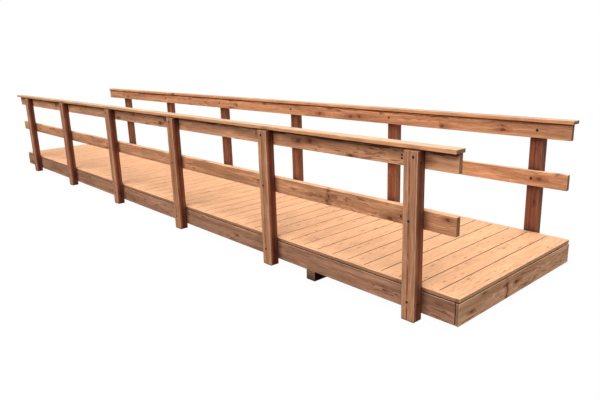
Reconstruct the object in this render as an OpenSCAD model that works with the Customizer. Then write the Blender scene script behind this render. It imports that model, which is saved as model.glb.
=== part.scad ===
// Straight timber footbridge with a plank deck and two post-and-rail parapets.
// Millimetres, +Z up, +X along the walkway, origin on the ground under the middle.
// Front is the +X end, left is the +Y side.

/* [Deck] */
// Length of the deck from end to end
deck_l = 9560; // [6000:10:12000]
// Width of the deck over its edge strips
deck_w = 1800; // [1200:10:2400]
// Thickness of the deck boards and edge strips
deck_t = 38; // [24:1:60]
// Width of a full deck board
board_w = 182; // [100:1:240]
// Open gap between neighbouring deck boards
board_gap = 5; // [3:0.5:12]
// Width of the strip along each long edge of the deck
strip_w = 40; // [25:1:70]
// Length by which the deck's end strips lap from the end boards onto the beams
strip_lap = 12; // [5:1:40]

/* [Beams] */
// Depth of the side beams, inner joists and end boards
beam_h = 178; // [140:1:280]
// Thickness of a side beam
beam_t = 60; // [45:1:120]
// Thickness of an inner joist
joist_t = 60; // [45:1:120]
// Distance from the middle line to the middle of an inner joist
joist_y = 290; // [150:5:400]
// Thickness of the board that closes each end of the frame
end_board_t = 28; // [20:1:50]

/* [Posts] */
// Width of a post along the bridge
post_w = 120; // [80:1:160]
// Depth of a post across the bridge
post_d = 96; // [60:1:140]
// Height of the post tops above the deck
post_h = 1050; // [900:5:1300]
// Drop of the post feet below the side beams
post_drop = 55; // [20:1:80]
// Distance from the deck's front end to the nearest post
post_front = 325; // [200:1:600]
// Distance from the deck's back end to the nearest post
post_back = 600; // [200:1:900]

/* [Rails] */
// Thickness of a rail
rail_t = 45; // [30:1:70]
// Height of a rail
rail_h = 145; // [95:1:200]
// Height of the middle rail's centre line above the deck
mid_rail_z = 530; // [350:5:650]
// Distance from the deck's end to the end of a rail
rail_end = 50; // [30:1:120]
// Width of the capping board
cap_w = 112; // [80:1:180]
// Thickness of the capping board
cap_t = 31; // [20:1:50]
// Length by which a capping board passes the rail ends
cap_over = 12; // [5:1:30]
// Length by which a capping board overhangs the inner face of the rail
cap_in = 8; // [0:1:30]
// Shadow gap between the post tops and the capping board
cap_gap = 6; // [2:1:20]

/* [Bearers] */
// Width of a cross bearer along the bridge
bearer_w = 110; // [80:1:200]
// Height of a cross bearer, which stands on the ground
bearer_h = 95; // [85:1:200]
// Distance from the deck's end to the middle of a bearer
bearer_end = 1570; // [1000:10:2000]
// Length by which one end of each bearer stops short of the side beam's face
bearer_setback = 170; // [0:5:400]

/* [Hidden] */
post_count = 6;
deck_groups = 7;

beam_z = bearer_h;
deck_z = beam_z + beam_h;
walk_z = deck_z + deck_t;
post_z = beam_z - post_drop;
post_top = walk_z + post_h;
cap_z = post_top + cap_gap;
top_rail_z = cap_z - rail_h;
mid_rail_low = walk_z + mid_rail_z - rail_h / 2;

side_y = deck_w / 2;
frame_l = deck_l - 2 * end_board_t;
rail_l = deck_l - 2 * rail_end;
cap_l = rail_l + 2 * cap_over;
cap_out = cap_w - rail_t - cap_in;
post_first = -deck_l / 2 + post_back;
post_bay = (deck_l - post_back - post_front - post_w) / (post_count - 1);

pitch = board_w + board_gap;
end_strip_w = end_board_t + strip_lap;
boards_l = deck_l - 2 * end_strip_w;
side_boards = floor(boards_l / 2 / pitch - 1);
full_boards = 2 * side_boards + 1;
board_count = full_boards + 2;
board_l = deck_w - 2 * strip_w;

larch_deck = [0.91, 0.68, 0.46];
larch_cap = [0.95, 0.80, 0.60];
larch_rail = [0.70, 0.45, 0.30];
larch_post = [0.62, 0.40, 0.27];
larch_beam = [0.56, 0.38, 0.27];

// Post number n, counted from the back end, on the side given by +1 (left) or -1 (right)
module post(n, side) {
    x = post_first + (n - 1) * post_bay;
    y = side > 0 ? side_y : -side_y - post_d;
    color(larch_post)
        translate([x, y, post_z])
            cube([post_w, post_d, post_top - post_z]);
}

// Rail on the inner faces of the posts, with its lower edge at height z
module rail(side, z) {
    y = side > 0 ? side_y - rail_t : -side_y;
    color(larch_rail)
        translate([-rail_l / 2, y, z])
            cube([rail_l, rail_t, rail_h]);
}

// Capping board over the top rail and the inner part of the post tops
module cap(side) {
    y = side > 0 ? side_y - rail_t - cap_in : -side_y - cap_out;
    color(larch_cap)
        translate([-cap_l / 2, y, cap_z])
            cube([cap_l, cap_w, cap_t]);
}

// Beam along one edge of the frame, between the end boards
module side_beam(side) {
    y = side > 0 ? side_y - beam_t : -side_y;
    color(larch_beam)
        translate([-frame_l / 2, y, beam_z])
            cube([frame_l, beam_t, beam_h]);
}

// Inner joist between the end boards
module joist(side) {
    color(larch_beam)
        translate([-frame_l / 2, side * joist_y - joist_t / 2, beam_z])
            cube([frame_l, joist_t, beam_h]);
}

// Board that laps over the beam ends at the end given by +1 (front) or -1 (back)
module end_board(end) {
    x = end > 0 ? frame_l / 2 : -deck_l / 2;
    color(larch_beam)
        translate([x, -side_y, beam_z])
            cube([end_board_t, deck_w, beam_h]);
}

// Cross bearer: the front one starts at the right face, the back one at the left face
module bearer(end) {
    x = end * (deck_l / 2 - bearer_end) - bearer_w / 2;
    y = end > 0 ? -side_y : -side_y + bearer_setback;
    color(larch_beam)
        translate([x, y, 0])
            cube([bearer_w, deck_w - bearer_setback, bearer_h]);
}

// Strip along one long edge of the deck, between the end strips
module long_strip(side) {
    y = side > 0 ? side_y - strip_w : -side_y;
    color(larch_deck)
        translate([-boards_l / 2, y, deck_z])
            cube([boards_l, strip_w, deck_t]);
}

// Strip across one end of the deck, seated on the end board and the beam ends
module end_strip(end) {
    x = end > 0 ? boards_l / 2 : -deck_l / 2;
    color(larch_deck)
        translate([x, -side_y, deck_z])
            cube([end_strip_w, deck_w, deck_t]);
}

// Edges of board k: full boards are centred on the deck, and the first and last fill up to the strips
function board_low(k) = k == 0 ? -boards_l / 2 : (k - 1 - full_boards / 2) * pitch + board_gap / 2;
function board_high(k) = k == board_count - 1 ? boards_l / 2 : (k - full_boards / 2) * pitch - board_gap / 2;

// One of the groups of deck boards, counted from the back end
module deck_boards(group) {
    first = floor((group - 1) * board_count / deck_groups);
    last = floor(group * board_count / deck_groups) - 1;
    color(larch_deck)
        for (k = [first:last])
            translate([board_low(k), -board_l / 2, deck_z])
                cube([board_high(k) - board_low(k), board_l, deck_t]);
}

post(1, 1);  // left_post_1
post(2, 1);  // left_post_2
post(3, 1);  // left_post_3
post(4, 1);  // left_post_4
post(5, 1);  // left_post_5
post(6, 1);  // left_post_6
post(1, -1);  // right_post_1
post(2, -1);  // right_post_2
post(3, -1);  // right_post_3
post(4, -1);  // right_post_4
post(5, -1);  // right_post_5
post(6, -1);  // right_post_6
rail(1, top_rail_z);  // left_top_rail
rail(-1, top_rail_z);  // right_top_rail
rail(1, mid_rail_low);  // left_mid_rail
rail(-1, mid_rail_low);  // right_mid_rail
cap(1);  // left_cap
cap(-1);  // right_cap
side_beam(1);  // left_side_beam
side_beam(-1);  // right_side_beam
joist(1);  // left_joist
joist(-1);  // right_joist
end_board(1);  // front_end_board
end_board(-1);  // back_end_board
bearer(1);  // front_bearer
bearer(-1);  // back_bearer
long_strip(1);  // left_deck_strip
long_strip(-1);  // right_deck_strip
end_strip(1);  // front_deck_strip
end_strip(-1);  // back_deck_strip
deck_boards(1);  // deck_boards_1
deck_boards(2);  // deck_boards_2
deck_boards(3);  // deck_boards_3
deck_boards(4);  // deck_boards_4
deck_boards(5);  // deck_boards_5
deck_boards(6);  // deck_boards_6
deck_boards(7);  // deck_boards_7
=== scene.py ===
"""Looks of the timber footbridge: planed larch, black bolts, a pale floor and soft light from above."""
import math
import random
from collections import namedtuple

import bpy
from mathutils import Matrix, Vector


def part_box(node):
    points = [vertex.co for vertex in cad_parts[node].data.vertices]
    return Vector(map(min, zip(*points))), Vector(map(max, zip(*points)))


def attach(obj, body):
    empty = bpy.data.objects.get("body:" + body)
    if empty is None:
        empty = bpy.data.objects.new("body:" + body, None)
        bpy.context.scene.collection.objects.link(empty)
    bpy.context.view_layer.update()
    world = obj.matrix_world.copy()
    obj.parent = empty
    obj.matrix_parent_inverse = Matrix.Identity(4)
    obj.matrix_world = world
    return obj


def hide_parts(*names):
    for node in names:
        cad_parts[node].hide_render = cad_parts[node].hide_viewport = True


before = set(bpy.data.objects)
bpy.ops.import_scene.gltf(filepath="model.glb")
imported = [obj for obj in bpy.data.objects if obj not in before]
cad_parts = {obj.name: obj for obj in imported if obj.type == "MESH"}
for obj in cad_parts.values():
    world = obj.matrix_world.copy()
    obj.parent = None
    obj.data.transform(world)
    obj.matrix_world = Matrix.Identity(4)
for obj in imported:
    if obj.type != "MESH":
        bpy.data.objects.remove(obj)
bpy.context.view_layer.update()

X, Y, Z = 0, 1, 2
dice = random.Random(7)


# What every piece shares

def skin(first, rings, count, flip):
    """Faces over rings of count points, numbered from first: the sides ring by ring, then the two ends."""
    faces = []
    for ring in range(rings - 1):
        for k in range(count):
            a = first + ring * count + k
            b = first + ring * count + (k + 1) % count
            faces.append((a, b, b + count, a + count))
    faces.append(tuple(first + k for k in reversed(range(count))))
    faces.append(tuple(first + (rings - 1) * count + k for k in range(count)))
    return [face[::-1] for face in faces] if flip else faces


def new_object(name, verts, faces, material):
    mesh = bpy.data.meshes.new(name)
    mesh.from_pydata(verts, [], faces)
    mesh.materials.append(material)
    body = bpy.data.objects.new(name, mesh)
    bpy.context.scene.collection.objects.link(body)
    return body


def place_piece(piece, slot=None, *nodes):
    """Puts a piece on the bridge's one body and hides the CAD nodes that it replaces. Its slot is not used.
    """
    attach(piece, "root")
    if nodes:
        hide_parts(*nodes)


# Timber meshes, with lengths in metres

EDGE_STEPS = 3
# Rounding of an open edge, of an edge close to a neighbour and of a post's foot
EASE, CLOSE, FOOT = 0.003, 0.0006, 0.008
# Least share of a long edge's rounding that is left at the sawn ends
LEAST_ROUNDING = 0.15
# Distance within which a point lies on a face
ON_FACE = 1e-5
# The sides of each corner of a section, and the angle at which its arc starts
CORNER_ARCS = ((-1, -1, 180), (1, -1, 270), (1, 1, 0), (-1, 1, 90))
# Orders of the long, wide and thin axis that would turn a timber's faces inside out
MIRRORED = ((X, Z, Y), (Y, X, Z), (Z, Y, X))
# Where in its tree a timber was cut: along the trunk, aside, and away from the pith
CUT_FROM = ((-40, 40), (-0.03, 0.03), (0.05, 0.09))


def outline(half_wide, half_thin, corners):
    """Points round a rectangle with rounded corners, anticlockwise from its low corner.

    With each point come two flags: whether a flat face starts there and whether it lies on the middle of a
    rounded edge, where the wood gets wear and a painted highlight on upper edges and painted shade on lower
    ones.
    """
    points, flats, on_arris = [], [], []
    for (side_w, side_t, start), radius in zip(CORNER_ARCS, corners):
        for step in range(EDGE_STEPS + 1):
            turn = math.radians(start + 90 * step / EDGE_STEPS)
            points.append((side_w * (half_wide - radius) + radius * math.cos(turn),
                           side_t * (half_thin - radius) + radius * math.sin(turn)))
        flats += [False] * EDGE_STEPS + [True]
        on_arris += [0.0] + [1.0] * (EDGE_STEPS - 1) + [0.0]
    return points, flats, on_arris


def end_stations(ease):
    """Distance from the sawn end and inset of the outline there, from the end face inwards."""
    turns = [math.radians(90 - 90 * step / EDGE_STEPS) for step in range(EDGE_STEPS + 1)]
    return [(ease * (1 - math.sin(t)), ease * (1 - math.cos(t))) for t in turns]


def painted_shade_at(spot, half, dark):
    """Strength of the painted shade at a point of a timber, from the dark faces that it lies on."""
    strengths = [strength for axis, side, strength in dark if abs(spot[axis] * side - half[axis]) < ON_FACE]
    return max(strengths, default=0.0)


def depth_at(spot, half, shade):
    """How far a point lies towards a timber's shaded side, from 0 to 1, and 1 where no side is shaded."""
    if not shade:
        return 1.0
    axis, side = shade
    return 0.5 + 0.5 * side * spot[axis] / half[axis]


class Timbers:
    """Gathers planed timbers into one mesh, each with its own fibre direction and piece of the tree.

    With each point go four vectors that the materials read. fibre is its place in the tree, and place its
    place in the timber: along it, and across the wide and the thin way. sides tells whether it lies on a
    sawn end, how strongly painted shade darkens its face, and whether it lies on top, where it gets painted
    top light. The last vector holds its edge mark (wear and a painted highlight on upper edges, painted
    shade on lower ones), its depth towards the side where painted shade is darkest, and whether it is
    hidden in a slot, which gets painted shade.
    """

    def __init__(self):
        self.verts, self.faces, self.flat, self.tone = [], [], [], []
        self.notes = {"fibre": [], "place": [], "sides": [], "wear_and_painted_shading": []}

    def add(self, low, high, along, wide, corners=(EASE,) * 4, ends=(EASE, EASE), dark=(), shade=None,
            hidden=False, arris=1.0):
        """One timber from corner low to corner high, with its fibres and its width on the axes given.

        corners are the radii of its long edges, and ends the radii at its sawn ends. dark names the faces
        that get painted shade, as (axis, side, strength), and shade the (axis, side) towards which they
        darken. A hidden timber lies back in a slot, where next to no light falls, and gets painted shade.
        arris is the strength of the wear and painted highlight on its upper edges; below zero, they take the
        darker tint of the lower edges, which always get painted shade.
        """
        thin = X + Y + Z - along - wide
        lying = along != Z
        mid = (Vector(low) + Vector(high)) / 2
        half = (Vector(high) - Vector(low)) / 2
        cut = Vector([dice.uniform(*span) for span in CUT_FROM])
        tone = dice.random()
        stations = [(-half[along] + s, i) for s, i in end_stations(ends[0])]
        stations += [(half[along] - s, i) for s, i in reversed(end_stations(ends[1]))]
        first = len(self.verts)
        for at, inset in stations:
            slim = [max(radius - inset, radius * LEAST_ROUNDING) for radius in corners]
            points, flats, on_arris = outline(half[wide] - inset, half[thin] - inset, slim)
            for (across_w, across_t), is_arris in zip(points, on_arris):
                place = Vector((at, across_w, across_t))
                spot = Vector((0, 0, 0))
                spot[along], spot[wide], spot[thin] = place
                # Faces named in dark get painted shade, of the strength given with them
                painted_shade = painted_shade_at(spot, half, dark)
                is_end = abs(abs(at) - half[along]) < ON_FACE
                # Upper faces of lying timbers get painted top light, except faces with painted shade
                is_top = lying and not painted_shade and abs(spot[Z] - half[Z]) < ON_FACE
                # Upper edges get wear and a painted highlight, scaled by arris, and lower edges painted
                # shade, as values below zero
                wear = -is_arris if lying and spot[Z] < 0 else is_arris * arris
                self.verts.append(mid + spot)
                self.tone.append(tone)
                self.notes["fibre"].append(place + cut)
                self.notes["place"].append(place)
                self.notes["sides"].append((float(is_end), painted_shade, float(is_top)))
                self.notes["wear_and_painted_shading"].append((wear, depth_at(spot, half, shade), float(hidden)))
        rings, count = len(stations), len(flats)
        self.faces += skin(first, rings, count, (along, wide, thin) in MIRRORED)
        self.flat += [ring == EDGE_STEPS and flats[k] for ring in range(rings - 1) for k in range(count)]
        self.flat += [True, True]

    def piece(self, name, material):
        body = new_object(name, self.verts, self.faces, material)
        mesh = body.data
        mesh.polygons.foreach_set("use_smooth", [not flat for flat in self.flat])
        for label, values in self.notes.items():
            layer = mesh.attributes.new(label, "FLOAT_VECTOR", "POINT")
            layer.data.foreach_set("vector", [c for v in values for c in v])
        layer = mesh.attributes.new("tone", "FLOAT", "POINT")
        layer.data.foreach_set("value", self.tone)
        mesh.update()
        return body


# Nodes

class Graph:
    """Short calls for building the nodes of a material or of the world."""

    def __init__(self, owner, shader):
        owner.use_nodes = True
        self.owner = owner
        self.tree = owner.node_tree
        self.shader = self.tree.nodes[shader]

    def put(self, socket, value):
        """Links another node's output to a socket, or sets a constant there."""
        if isinstance(value, bpy.types.NodeSocket):
            self.tree.links.new(value, socket)
        else:
            socket.default_value = value

    def set(self, name, value):
        self.put(self.shader.inputs[name], value)

    def add(self, kind, inputs, output=0, **settings):
        """A new node with its inputs and settings, of which one output is returned."""
        node = self.tree.nodes.new("ShaderNode" + kind)
        for key, value in settings.items():
            setattr(node, key, value)
        for key, value in inputs.items():
            self.put(node.inputs[key], value)
        return node.outputs[output]

    def vector(self, name):
        return self.add("Attribute", {}, "Vector", attribute_name=name)

    def number(self, name):
        return self.add("Attribute", {}, "Fac", attribute_name=name)

    def split(self, vector):
        return self.add("SeparateXYZ", {0: vector}).node.outputs

    def maths(self, operation, a, b=0.0):
        return self.add("Math", {0: a, 1: b}, operation=operation)

    def times(self, a, b):
        return self.maths("MULTIPLY", a, b)

    def over(self, a, b):
        return self.maths("DIVIDE", a, b)

    def total(self, a, b):
        return self.maths("ADD", a, b)

    def most(self, a, b):
        return self.maths("MAXIMUM", a, b)

    def apart(self, a, b):
        return self.maths("ABSOLUTE", self.maths("SUBTRACT", a, b))

    def length(self, a, b):
        return self.maths("SQRT", self.total(self.times(a, a), self.times(b, b)))

    def scaled(self, vector, scale):
        return self.add("VectorMath", {0: vector, 1: scale}, operation="MULTIPLY")

    def plus(self, a, b):
        return self.add("VectorMath", {0: a, 1: b}, operation="ADD")

    def noise(self, vector, pattern, output="Fac"):
        inputs = {"Vector": self.scaled(vector, pattern.scale), "Scale": 1.0}
        inputs.update({"Detail": pattern.detail, "Roughness": pattern.roughness})
        return self.add("TexNoise", inputs, output)

    def sway(self, vector, pattern, reach):
        """Noise about zero that moves a number by up to about half of reach."""
        return self.times(self.maths("SUBTRACT", self.noise(vector, pattern), 0.5), reach)

    def stray(self, vector, pattern, reach):
        """The same for a vector, with a reach on each axis."""
        return self.scaled(self.plus(self.noise(vector, pattern, "Color"), (-0.5, -0.5, -0.5)), reach)

    def shows(self, vector, pattern, to_low=0.0, to_high=1.0):
        """How far a pattern shows: its noise comes in between its low and its high value."""
        return self.step(self.noise(vector, pattern), pattern.low, pattern.high, to_low, to_high)

    def step(self, value, low, high, to_low=0.0, to_high=1.0, kind="SMOOTHSTEP"):
        """Step of value from low to high, smooth or of another kind."""
        inputs = {"Value": value, "From Min": low, "From Max": high, "To Min": to_low, "To Max": to_high}
        return self.add("MapRange", inputs, interpolation_type=kind)

    def mix(self, share, a, b, blend="MIX"):
        """Two colours mixed. The node's sockets go by number, because several of them share a name."""
        return self.add("Mix", {0: share, 6: a, 7: b}, 2, data_type="RGBA", blend_type=blend)


def new_material(name):
    return Graph(bpy.data.materials.new(name), "Principled BSDF")


def rgb(r, g, b):
    return (r, g, b, 1.0)


# Patterns in the wood. A scale counts waves in a metre, along the fibres and on the two axes across them.

Pattern = namedtuple("Pattern", "scale detail roughness low high", defaults=(2.0, 0.5, 0.0, 1.0))
WANDER = Pattern((1.6, 4.0, 4.0), detail=3.0)
RUFFLE = Pattern((22, 45, 45))
STREAK = Pattern((0.9, 85, 85), 3.0, 0.65, 0.42, 0.62)
BAND = Pattern((0.5, 17, 17), low=0.44, high=0.62)
FLAME = Pattern((2.4, 20, 20))
PATCH = Pattern((1.7, 8, 8), detail=1.0, low=0.5, high=0.58)
DASH = Pattern((7, 60, 60), detail=1.0, low=0.62, high=0.68)
FINE = Pattern((6, 190, 190), 3.0, 0.65, 0.25, 0.75)
BLOTCH = Pattern((2.2, 9, 9), low=0.3, high=0.7)
ZIGZAG = Pattern((6, 26, 26))
SWELLING = Pattern((0, 38, 38), low=0.3, high=0.55)
DRIFT = Pattern((2.0, 1, 1), detail=3.0)
BREAKS = Pattern((9, 1, 1), low=0.35, high=0.6)

# How far the patterns move things, in metres
WANDER_REACH = (0.0, 0.09, 0.09)
RUFFLE_REACH = (0.05, 0.024, 0.0)
ZIGZAG_REACH = 0.1
DRIFT_REACH = 0.016
SWERVE_REACH = 0.03

# Growth rings: the taper along the trunk, and where in a year its late wood comes in and ends
TAPER = 0.02
YEAR_DARKENS, YEAR_ENDS = (0.5, 0.88), (1.0, 0.95)

# Round knots, in radii: where each effect fades out and where it is full. Distances along the fibres count
# by a share, which stretches a knot and its halo that way.
KNOT_CORE, KNOT_HALO, KNOT_SWERVE = (1.1, 0.5), (2.0, 0.4), (5.0, 0.5)
CORE_SQUEEZE, HALO_SQUEEZE = 0.7, 0.25

# Spike knots, in metres from their middle line: where each effect fades out and where it is full
SPIKE_CORE, SPIKE_HALO, SPIKE_SWERVE = (0.018, 0.004), (0.06, 0.0), (0.16, 0.0)

# The heart line: where it fades out and where it is full, how far it lies aside, and its range of strengths
HEART_WIDTH, HEART_ASIDE, HEART_STRENGTH = (0.0085, 0.004), 0.006, (0.35, 0.95)

# Flame marks: the value of noise that the dark and the pale line follow, and their widths in it
DARK_FLAME, PALE_FLAME = (0.5, (0.018, 0.005)), (0.545, (0.02, 0.006))

# Shares of the tints: the painted top light on upper faces, a knot's halo and core, sawn ends, and wear
# with a painted highlight on edges
TOP_SHARE, HALO_SHARE, CORE_SHARE, SAWN_SHARE, ARRIS_SHARE = 0.6, 0.7, 0.9, 0.75, 0.5
# How far streaks move the painted shade of a dark face, and where heartwood lies on the sides of the posts
STREAKY_SHADE = 0.1
HEARTWOOD_DEPTH, HEARTWOOD_SPAN = 0.52, (0.17, 0.06)
# Brightness of the fine fibres, and the share of a wood's unevenness that goes into each timber's own tone
FINE_SHADES = (0.76, 1.18)
TONE_SHARE = 0.6
# Gloss and relief of the surface
EARLY_ROUGHNESS, LATE_ROUGHNESS = 0.66, 0.52
FINE_RELIEF, RING_RELIEF, RELIEF_STRENGTH, RELIEF_HEIGHT = 0.6, 0.4, 0.4, 0.0006
# Shadow where timbers meet: its reach, its rays, and the share of open air where it starts and is full
CREVICE_REACH, CREVICE_RAYS = 0.1, 6
CREVICE_AIR = (0.92, 0.5)

# Tints that all woods share: painted shadow where timbers meet, wear with a painted highlight on edges,
# painted shade under lower edges and in slots, and the wood's own heart line, heartwood and sawn ends
CREVICE = rgb(0.22, 0.13, 0.1)
ARRIS = rgb(0.95, 0.66, 0.42)
UNDER = rgb(0.4, 0.28, 0.23)
SLOT = rgb(0.05, 0.035, 0.03)
HEART = rgb(0.24, 0.07, 0.035)
HEARTWOOD = rgb(0.55, 0.4, 0.36)
SAWN = rgb(0.17, 0.083, 0.043)
# Ways in which a layer goes over the wood: in a colour of its own, or by darkening what lies below
TINT, SHADE = "MIX", "MULTIPLY"


# Materials

def round_knots(g, fibre, scale, share, size):
    """Strength of round knots, of the halo about them, and of the swerve of the rings round them."""
    ruffled = g.plus(fibre, g.stray(fibre, RUFFLE, RUFFLE_REACH))
    cells = g.add("TexVoronoi", {"Vector": ruffled, "Scale": scale}, "Position", voronoi_dimensions="2D")
    seeds = g.split(cells.node.outputs["Color"])
    there = g.maths("LESS_THAN", seeds[0], share)
    radius = g.step(seeds[1], 0.0, 1.0, *size)
    gap = g.split(g.add("VectorMath", {0: ruffled, 1: cells}, operation="SUBTRACT"))
    near, wing = (g.over(g.length(g.times(gap[0], squeeze), gap[1]), radius)
                  for squeeze in (CORE_SQUEEZE, HALO_SQUEEZE))
    steps = (g.step(near, *KNOT_CORE), g.step(wing, *KNOT_HALO), g.step(wing, *KNOT_SWERVE))
    return [g.times(step, there) for step in steps]


def spike_knot(g, at):
    """The same for one knot that is cut lengthwise, a crooked line across the timber at a place along it."""
    place = g.vector("place")
    sway = g.sway(place, ZIGZAG, ZIGZAG_REACH)
    aside = g.maths("ABSOLUTE", g.total(g.maths("SUBTRACT", g.split(place)[0], at), sway))
    swollen = g.shows(place, SWELLING)
    core, halo, swerve = (g.step(aside, *span) for span in (SPIKE_CORE, SPIKE_HALO, SPIKE_SWERVE))
    return [g.times(core, swollen), g.times(halo, swollen), swerve]


def year_rings(g, bent, swerve, ring):
    """The dark part of each year's ring, round a pith that tapers along the trunk."""
    along, across_w, across_t = g.split(bent)
    pith = g.total(g.length(across_w, across_t), g.times(along, TAPER))
    years = g.maths("FRACT", g.over(g.total(pith, g.times(swerve, SWERVE_REACH)), ring))
    return g.times(g.step(years, *YEAR_DARKENS), g.step(years, *YEAR_ENDS))


def flame_marks(g, fibre, bent, dash):
    """Thin dark lines and dashes in patches of a face, and the pale lines beside them."""
    patch = g.shows(fibre, PATCH)
    flame = g.noise(bent, FLAME)
    dark_line, pale_line = (g.step(g.apart(flame, at), *width) for at, width in (DARK_FLAME, PALE_FLAME))
    return g.times(g.most(dark_line, g.shows(bent, dash)), patch), g.times(pale_line, patch)


def heart_mark(g, fibre):
    """A thin broken line along the face of a post, where the saw came close to the pith."""
    across = g.total(g.split(g.vector("place"))[1], g.sway(fibre, DRIFT, DRIFT_REACH))
    off = g.maths("ABSOLUTE", g.total(across, HEART_ASIDE))
    return g.times(g.step(off, *HEART_WIDTH), g.shows(fibre, BREAKS, *HEART_STRENGTH))


def light_and_dark(g, fibre, fine, uneven):
    """Grey that varies from fibre to fibre, over a face, and from timber to timber."""
    own = TONE_SHARE * uneven
    shade = g.times(g.step(fine, FINE.low, FINE.high, *FINE_SHADES),
                    g.shows(fibre, BLOTCH, 1 - uneven, 1 + uneven))
    shade = g.times(shade, g.step(g.number("tone"), 0.0, 1.0, 1 - own, 1 + own))
    return g.add("CombineColor", {0: shade, 1: shade, 2: shade})


def larch(name, pale, warm, late, knot, dark, top, ring=0.009, lines=0.4, streaks=0.4, bands=0.5, marks=0.6,
          dash=DASH, uneven=0.1, knot_scale=6.0, knot_share=0.3, knot_size=(0.008, 0.02),
          ramp=(0.1, 0.35, 0.45), crevice=0.9, heart_line=False, spike=None):
    """Planed larch: rings round a tapering pith, long streaks, thin flame marks, fine fibres, and knots.

    pale, warm, late and knot are its colours from light to dark. dark tints its dark faces with painted
    shade, and top colours its upper ones with painted top light. ring is the width of a year in metres,
    lines, streaks, bands and marks are the strengths of its patterns, and uneven is how far its brightness
    varies. ramp says at which depth a dark face starts to darken, where it is darkest, and the share of its
    painted shade before that. crevice is the strength of the painted shadow where timbers meet, heart_line
    draws the pith, and spike is the place of a spike knot.
    """
    g = new_material(name)
    fibre = g.vector("fibre")
    # In sides, the second value is the strength of painted shade on a dark face and the third marks upper
    # faces, which get painted top light. In the next vector, the first value is the edge mark (wear and a
    # painted highlight on upper edges, painted shade below zero), the second the depth along a dark face's
    # painted shade, and the third marks slots, which get painted shade.
    is_end, painted_shade, is_top = g.split(g.vector("sides"))
    wear, depth, hidden = g.split(g.vector("wear_and_painted_shading"))
    bent = g.plus(fibre, g.stray(fibre, WANDER, WANDER_REACH))

    core, halo, swerve = round_knots(g, fibre, knot_scale, knot_share, knot_size)
    if spike is not None:
        pairs = zip((core, halo, swerve), spike_knot(g, spike))
        core, halo, swerve = (g.most(a, b) for a, b in pairs)
    late_wood = year_rings(g, bent, swerve, ring)
    streak, band = g.shows(bent, STREAK), g.shows(bent, BAND)
    mark, gleam = flame_marks(g, fibre, bent, dash)
    fine = g.noise(fibre, FINE)
    shaded = g.step(g.total(depth, g.times(streak, STREAKY_SHADE)), *ramp)
    open_air = g.add("AmbientOcclusion", {"Distance": CREVICE_REACH}, "AO", samples=CREVICE_RAYS)

    # The top layer is painted top light, the arris layer wear with a painted highlight, and the layers of
    # dark faces, lower edges, slots and the shadow where timbers meet are painted shade; the rest is the
    # wood's own colour
    layers = [(g.times(streak, streaks), warm, TINT),
              (g.times(band, bands), warm, TINT),
              (g.times(late_wood, lines), warm, TINT),
              (g.times(is_top, TOP_SHARE), top, TINT),
              (g.times(gleam, marks), pale, TINT),
              (g.times(mark, marks), late, TINT)]
    if heart_line:
        layers.append((heart_mark(g, fibre), HEART, TINT))
    layers += [(g.times(halo, HALO_SHARE), late, TINT),
               (g.times(core, CORE_SHARE), knot, TINT),
               (g.times(is_end, SAWN_SHARE), SAWN, TINT),
               (g.times(painted_shade, shaded), dark, SHADE)]
    if heart_line:
        middle = g.step(g.apart(depth, HEARTWOOD_DEPTH), *HEARTWOOD_SPAN)
        layers.append((g.times(painted_shade, middle), HEARTWOOD, SHADE))
    layers += [(g.step(wear, 0.0, 1.0, 0.0, ARRIS_SHARE), ARRIS, TINT),
               (g.step(wear, 0.0, -1.0), UNDER, SHADE),
               (hidden, SLOT, SHADE),
               (1.0, light_and_dark(g, fibre, fine, uneven), SHADE),
               (g.step(open_air, *CREVICE_AIR, 0.0, crevice), CREVICE, SHADE)]
    colour = pale
    for share, tint, blend in layers:
        colour = g.mix(share, colour, tint, blend)

    g.set("Base Color", colour)
    g.set("Roughness", g.step(late_wood, 0.0, 1.0, EARLY_ROUGHNESS, LATE_ROUGHNESS))
    relief = g.total(g.times(fine, FINE_RELIEF), g.times(late_wood, RING_RELIEF))
    bump = {"Strength": RELIEF_STRENGTH, "Distance": RELIEF_HEIGHT, "Height": relief}
    g.set("Normal", g.add("Bump", bump))
    return g.owner


STEEL_WEAR = Pattern((160, 160, 160), detail=3.0, low=0.5, high=0.75)
# The span of wear over which the roughness goes from its first to its second value
STEEL_ROUGHNESS = (0.3, 0.8, 0.25, 0.45)
BLACKED, WORN = rgb(0.03, 0.036, 0.045), rgb(0.09, 0.1, 0.12)


def black_steel(name):
    """Blackened bolts, slightly worn."""
    g = new_material(name)
    wear = g.noise(g.add("TexCoord", {}, "Object"), STEEL_WEAR)
    g.set("Base Color", g.mix(g.step(wear, STEEL_WEAR.low, STEEL_WEAR.high), BLACKED, WORN))
    g.set("Metallic", 1.0)
    g.set("Roughness", g.step(wear, *STEEL_ROUGHNESS))
    return g.owner


FLOOR_CLOUD = Pattern((0.6, 0.6, 0.6))
FLOOR_TINTS = rgb(0.016, 0.016, 0.016), rgb(0.02, 0.02, 0.02)
FLOOR_GLOW = 0.98
WHITE = rgb(1.0, 1.0, 1.0)


def plain_floor(name):
    """Pale floor with a glow of its own, so that only a faint shadow lies on it."""
    g = new_material(name)
    cloud = g.noise(g.add("TexCoord", {}, "Object"), FLOOR_CLOUD)
    g.set("Base Color", g.mix(cloud, *FLOOR_TINTS))
    g.set("Roughness", 1.0)
    g.set("Specular IOR Level", 0.0)
    g.set("Emission Color", WHITE)
    g.set("Emission Strength", FLOOR_GLOW)
    return g.owner


# Woods

# Colours of knots and late wood, tints of the painted shade on dark faces, and colours of the painted top
# light on upper faces
KNOT = rgb(0.15, 0.042, 0.019)
LATE = rgb(0.29, 0.088, 0.037)
# Painted shade on the sides of the posts and on the inner faces of the far posts
DARK = rgb(0.4, 0.215, 0.148)
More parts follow.
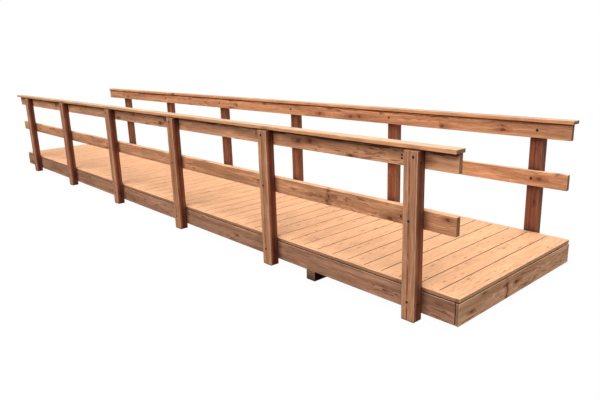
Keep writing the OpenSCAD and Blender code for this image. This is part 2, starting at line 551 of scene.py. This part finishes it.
# Painted shade on the ends and tops of beams, the tops of end boards and the sides of bearers, in joints,
# slots and under the deck
BLACK = rgb(0.06, 0.04, 0.035)
# Painted shade under the caps, darkening the top rails upwards
UNDER_CAP = rgb(0.26, 0.17, 0.12)
# Painted shade on the outer faces and ends of the deck's side and end strips
SIDE_EDGE = rgb(0.63, 0.54, 0.54)
END_EDGE = rgb(0.86, 0.85, 0.88)
# Painted shade on the sides of deck boards, in the gaps between them
GAP = rgb(0.2, 0.1, 0.06)
# Painted top light on upper faces, and on the tops of the caps
TOP = rgb(0.88, 0.52, 0.27)
CAP_TOP = rgb(0.41, 0.395, 0.29)
FAR_RAIL = (rgb(0.69, 0.345, 0.17), rgb(0.345, 0.13, 0.056), LATE, KNOT)
RAIL_KNOTS = (0.01, 0.022)
# Places of the spike knots, in metres from the middle of the near middle rail and of an end board
SPIKE_RAIL, SPIKE_END = 3.46, -0.216
DECK_TOP = rgb(0.735, 0.395, 0.202)
DECK = (DECK_TOP, rgb(0.605, 0.28, 0.132), rgb(0.42, 0.15, 0.06), rgb(0.28, 0.09, 0.036))
DECK_GRAIN = dict(ring=0.013, lines=0.3, streaks=0.45, bands=0.25, marks=0.5, uneven=0.06, knot_scale=9.0,
                  knot_share=0.34, knot_size=(0.003, 0.007), dash=DASH._replace(scale=(14, 110, 110)))

post_wood = larch("post_larch", rgb(0.66, 0.325, 0.165), rgb(0.36, 0.14, 0.064), LATE, KNOT, DARK, TOP,
                  lines=0.3, streaks=0.7, bands=0.65, marks=0.25, knot_scale=5.0, knot_share=0.2,
                  heart_line=True)
far_rail = larch("far_rail_larch", *FAR_RAIL, DARK, TOP, knot_size=RAIL_KNOTS)
far_top_rail = larch("far_top_rail_larch", *FAR_RAIL, UNDER_CAP, TOP, knot_size=RAIL_KNOTS,
                     ramp=(0.84, 0.95, 0.0))
near_rail = larch("near_rail_larch", rgb(0.78, 0.365, 0.172), rgb(0.37, 0.135, 0.058), LATE, KNOT, DARK,
                  TOP, marks=0.8, uneven=0.16, knot_size=RAIL_KNOTS, spike=SPIKE_RAIL)
near_top_rail = larch("near_top_rail_larch", rgb(0.92, 0.455, 0.233), rgb(0.5, 0.195, 0.09), LATE, KNOT,
                      UNDER_CAP, TOP, marks=0.75, uneven=0.14, knot_size=(0.01, 0.026), knot_share=0.36,
                      ramp=(0.82, 0.9, 0.0), crevice=0.3)
cap_wood = larch("cap_larch", rgb(0.8, 0.4, 0.18), rgb(0.56, 0.22, 0.085), LATE, KNOT, DARK, CAP_TOP,
                 marks=0.25, knot_share=0.1)
beam_wood = larch("beam_larch", rgb(0.49, 0.248, 0.14), rgb(0.23, 0.094, 0.048), rgb(0.16, 0.052, 0.025),
                  KNOT, BLACK, TOP, marks=0.8, bands=0.65, uneven=0.16, knot_size=(0.005, 0.013))
end_wood = larch("end_board_larch", rgb(0.83, 0.47, 0.262), rgb(0.44, 0.19, 0.09), LATE, KNOT, BLACK, TOP,
                 marks=0.75, uneven=0.14, knot_size=(0.007, 0.016), knot_share=0.45, spike=SPIKE_END)
side_strip_wood = larch("side_strip_larch", *DECK, SIDE_EDGE, DECK_TOP, **DECK_GRAIN)
end_strip_wood = larch("end_strip_larch", *DECK, END_EDGE, DECK_TOP, **DECK_GRAIN)
board_wood = larch("board_larch", *DECK, GAP, DECK_TOP, **DECK_GRAIN)
bolt_steel = black_steel("bolt_steel")


# Pieces

SIDES = (("left", 1), ("right", -1))
POSTS = range(1, 7)
FRONT_POST = POSTS[-1]
DECK_GROUPS = range(1, 8)
# Strength of the painted shade on the sides of the near front post, on the sides and the inner faces of the
# far posts, and on the tops of the end boards, in the slot under the deck's end strips
FRONT_PAINTED_SHADE, FAR_PAINTED_SHADE, INNER_PAINTED_SHADE, END_PAINTED_SHADE = 0.84, 0.55, 0.92, 0.3
# Mark on a cap's upper edges: below zero, so that they take the darker tint of lower edges instead of
# wear and a painted highlight
CAP_ARRIS = -0.4
# The slot under the deck's edge strips, and how far the strips stand back from the beams, in metres
SLOT_DEEP, SLOT_HIGH, SET_BACK = 0.02, 0.008, 0.003
# Open joint at a beam's ends, the rounding of deck boards and the trim of their long edges, in metres
JOINT = 0.006
BOARD_EASE, BOARD_INSET = 0.002, 0.0016
# Digits that tell the edges of boards apart
BOARD_DIGITS = 5
# Which of a strip's four long edges is the upper outer one, on either side
UPPER_OUTER = {1: 2, -1: 3}


def post_name(side, n):
    return f"{side}_post_{n}"


def both(axis, strength=1.0):
    """The two dark faces that look along an axis."""
    return (axis, 1, strength), (axis, -1, strength)


def simple_timber(node, along, wide, material, slot, short=0.0, **how):
    """One timber in the place of its CAD node, a little short of it at each end where a joint shows."""
    low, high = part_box(node)
    low[along] += short
    high[along] -= short
    wood = Timbers()
    wood.add(low, high, along, wide, **how)
    place_piece(wood.piece(node + "_timber", material), slot, node)


def deck_strip(node, along, across, out, material, corner=False):
    """An edge strip of the deck over a slot above the beam; the slot's back piece gets painted shade, and so
    do the strip's outer face and ends. A corner strip shows its ends.
    """
    wood = Timbers()
    for hidden, depth in ((False, SET_BACK), (True, SLOT_DEEP)):
        low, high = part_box(node)
        (high if out > 0 else low)[across] -= out * depth
        if corner:
            low[along] += depth
            high[along] -= depth
        radii, rounding = [CLOSE] * 4, CLOSE
        if hidden:
            high.z = low.z + SLOT_HIGH
        else:
            low.z += SLOT_HIGH
            radii[UPPER_OUTER[out]] = EASE
            rounding = EASE / 2 if corner else CLOSE
        # The hidden back piece gets painted shade in the slot, and the strip's outer face and ends painted
        # shade
        wood.add(low, high, along, across, corners=radii, ends=(rounding, rounding), hidden=hidden,
                 dark=both(along) + ((across, out, 1.0),))
    place_piece(wood.piece(node + "_timber", material), "deck_timber", node)


for side, out in SIDES:
    near = out < 0
    for n in POSTS:
        # Near posts get painted shade on their sides, darkest towards the rails, and far posts on their
        # sides and inner faces
        if near:
            how = dict(dark=both(X, FRONT_PAINTED_SHADE if n == FRONT_POST else 1.0), shade=(Y, 1))
        else:
            how = dict(dark=both(X, FAR_PAINTED_SHADE) + ((Y, -1, INNER_PAINTED_SHADE),), arris=0.0)
        simple_timber(post_name(side, n), Z, X, post_wood, "post_timber", ends=(FOOT, EASE), **how)
    simple_timber(f"{side}_mid_rail", X, Z, near_rail if near else far_rail, "rail_timber")
    # The faces of the top rails that look towards -Y darken upwards under the caps with painted shade
    simple_timber(f"{side}_top_rail", X, Z, near_top_rail if near else far_top_rail, "rail_timber",
                  dark=((Y, -1, 1.0),), shade=(Z, 1))
    simple_timber(f"{side}_cap", X, Y, cap_wood, "cap_timber", arris=CAP_ARRIS)
    for beam in ("side_beam", "joist"):
        # Beams and joists get painted shade on their ends, in the open joints, and on their tops, under the
        # deck
        simple_timber(f"{side}_{beam}", X, Z, beam_wood, "beam_timber", short=JOINT,
                      ends=(EASE / 2, EASE / 2), dark=both(X) + ((Z, 1, 1.0),))
    deck_strip(f"{side}_deck_strip", X, Y, out, side_strip_wood)
for end, out in (("front", 1), ("back", -1)):
    # End boards get painted shade on their tops, in the slot under the end strips, and bearers on their
    # sides, under the deck
    simple_timber(f"{end}_end_board", Y, Z, end_wood, "beam_timber", dark=((Z, 1, END_PAINTED_SHADE),))
    simple_timber(f"{end}_bearer", Y, Z, beam_wood, "beam_timber", dark=both(X))
    deck_strip(f"{end}_deck_strip", Y, X, out, end_strip_wood, corner=True)

for group in DECK_GROUPS:
    node = f"deck_boards_{group}"
    low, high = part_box(node)
    edges = sorted({round(v.co.x, BOARD_DIGITS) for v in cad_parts[node].data.vertices})
    wood = Timbers()
    for start, stop in zip(edges[::2], edges[1::2]):
        # The sides of each board get painted shade, in the gaps between boards
        wood.add((start + BOARD_INSET, low.y, low.z), (stop - BOARD_INSET, high.y, high.z), Y, X,
                 ends=(CLOSE, CLOSE), corners=(BOARD_EASE,) * 4, dark=both(X))
    place_piece(wood.piece(node + "_timber", board_wood), "deck_timber", node)


# Bolts

# Radius and height of a head's rings in metres, from the washer's rim to the crown
HEAD = ((0.0105, 0.0), (0.0105, 0.0012), (0.01, 0.0017), (0.0088, 0.0018), (0.0085, 0.0032),
        (0.0071, 0.0052), (0.005, 0.0066), (0.0026, 0.0072))
SPOKES = 20
SHARP = math.radians(35)
# Sizes of the heads on the inner faces of the rails, and of the small heads
RAIL_SIZE, SMALL_SIZE = 1.15, 0.8
# How far a bolt strays along the bridge and in height
ASTRAY_X, ASTRAY_Z = (-0.012, 0.004), (-0.005, 0.005)
# Heights over the middles of the rails and the beam, on the outer faces of the posts and on their sides
TOP_LIFT, BEAM_LIFT, SIDE_BEAM_LIFT, SIDE_TOP_LIFT = 0.022, 0.014, 0.004, -0.02
# The top bolts of a front post sit further forward
FRONT_SHIFT = 0.022
# Small heads on the rails behind a front post: the distance from it, and heights over the rails' middles
SMALL_GAP = 0.09
SMALL_TOP, SMALL_MID = (0.006, -0.018), -0.012


class Bolts:
    """Gathers bolt heads into one mesh."""

    def __init__(self):
        self.verts, self.faces = [], []

    def head(self, spot, axis, side, size=1.0):
        """A domed head on its washer, standing on the face at spot that looks along axis."""
        a, b = [k for k in (X, Y, Z) if k != axis]
        first = len(self.verts)
        for radius, height in HEAD:
            for k in range(SPOKES):
                turn = 2 * math.pi * k / SPOKES
                point = Vector(spot)
                point[a] += size * radius * math.cos(turn)
                point[b] += size * radius * math.sin(turn)
                point[axis] += side * size * height
                self.verts.append(point)
        self.faces += skin(first, len(HEAD), SPOKES, (side > 0) == (axis == Y))

    def piece(self, name):
        body = new_object(name, self.verts, self.faces, bolt_steel)
        body.data.polygons.foreach_set("use_smooth", [True] * len(self.faces))
        body.data.set_sharp_from_angle(angle=SHARP)
        body.data.update()
        return body


for side, out in SIDES:
    top_low, top_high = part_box(f"{side}_top_rail")
    mid_low, mid_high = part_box(f"{side}_mid_rail")
    beam_low, beam_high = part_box(f"{side}_side_beam")
    inner, outer_rail = (top_low.y, top_high.y) if out > 0 else (top_high.y, top_low.y)
    top_z, mid_z = (top_low.z + top_high.z) / 2, (mid_low.z + mid_high.z) / 2
    beam_z = (beam_low.z + beam_high.z) / 2
    for n in POSTS:
        low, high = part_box(post_name(side, n))
        outer = high.y if out > 0 else low.y
        depth = (low.y + high.y) / 2
        bolts = Bolts()
        for z, lift in ((top_z, TOP_LIFT), (mid_z, 0.0), (beam_z, BEAM_LIFT)):
            x = (low.x + high.x) / 2 + dice.uniform(*ASTRAY_X)
            if n == FRONT_POST and z == top_z:
                x += FRONT_SHIFT
            bolts.head((x, outer, z + lift + dice.uniform(*ASTRAY_Z)), Y, out)
            if z != beam_z:
                bolts.head((x, inner, z), Y, -out, RAIL_SIZE)
        for face, way in ((high.x, 1), (low.x, -1)):
            bolts.head((face, depth, beam_z + SIDE_BEAM_LIFT), X, way)
            bolts.head((face, depth, top_z + SIDE_TOP_LIFT), X, way, SMALL_SIZE)
        if n == FRONT_POST:
            for z in [top_z + lift for lift in SMALL_TOP] + [mid_z + SMALL_MID]:
                bolts.head((low.x - SMALL_GAP, outer_rail, z), Y, out, SMALL_SIZE)
        place_piece(bolts.piece(post_name(side, n) + "_bolts"))


# Stage, light and camera

FLOOR_REACH = 60.0
floor_corners = [(x * FLOOR_REACH, y * FLOOR_REACH, 0.0) for x, y in ((-1, -1), (1, -1), (1, 1), (-1, 1))]
floor = new_object("floor", floor_corners, [(0, 1, 2, 3)], plain_floor("floor_pale"))
floor.visible_diffuse = False
floor.visible_glossy = False

# Light of the sky from overhead and from the horizon, and the share of it that is left below the height
# NADIR. The camera itself sees white.
ZENITH, HORIZON, BELOW = 0.7, 0.2, 0.04
NADIR = -0.2
sky = Graph(bpy.data.worlds.new("studio"), "Background")
height = sky.split(sky.add("TexCoord", {}, "Generated"))[Z]
upper = sky.step(height, 0.0, 1.0, HORIZON, ZENITH, "LINEAR")
lower = sky.step(height, NADIR, 0.0, BELOW, 1.0, "LINEAR")
sky.set("Color", WHITE)
sky.set("Strength", sky.most(sky.add("LightPath", {}, "Is Camera Ray"), sky.times(upper, lower)))
bpy.context.scene.world = sky.owner

# Angles in degrees
SUNS = {"soft_sun": dict(tilt=26, turn=30, spread=62, strength=3.3),
        "front_fill": dict(tilt=65, turn=12, spread=100, strength=0.75),
        "back_fill": dict(tilt=65, turn=195, spread=100, strength=0.7)}
for name, sun in SUNS.items():
    light = bpy.data.lights.new(name, "SUN")
    light.angle = math.radians(sun["spread"])
    light.energy = sun["strength"]
    lamp = bpy.data.objects.new(name, light)
    lamp.rotation_euler = (math.radians(sun["tilt"]), 0.0, math.radians(sun["turn"]))
    bpy.context.scene.collection.objects.link(lamp)

FOCUS_PX, IMAGE_W, SENSOR_MM = 566.0, 600, 36.0
FAR_CLIP = 500
EYE = Vector((6.819, -4.201, 2.079))
YAW, PITCH, ROLL = (math.radians(a) for a in (48.44, 14.95, -1.79))
ahead = Vector((-math.sin(YAW) * math.cos(PITCH), math.cos(YAW) * math.cos(PITCH), -math.sin(PITCH)))
level = Vector((math.cos(YAW), math.sin(YAW), 0.0))
upright = level.cross(ahead)
right = math.cos(ROLL) * level + math.sin(ROLL) * upright
up = math.cos(ROLL) * upright - math.sin(ROLL) * level
camera_data = bpy.data.cameras.new("photo_camera")
camera_data.sensor_fit = "HORIZONTAL"
camera_data.sensor_width = SENSOR_MM
camera_data.lens = FOCUS_PX / IMAGE_W * SENSOR_MM
camera_data.clip_end = FAR_CLIP
camera = bpy.data.objects.new("photo_camera", camera_data)
camera.matrix_world = Matrix.Translation(EYE) @ Matrix((right, up, -ahead)).transposed().to_4x4()
bpy.context.scene.collection.objects.link(camera)
bpy.context.scene.camera = camera
bpy.context.scene.view_settings.view_transform = "Standard"
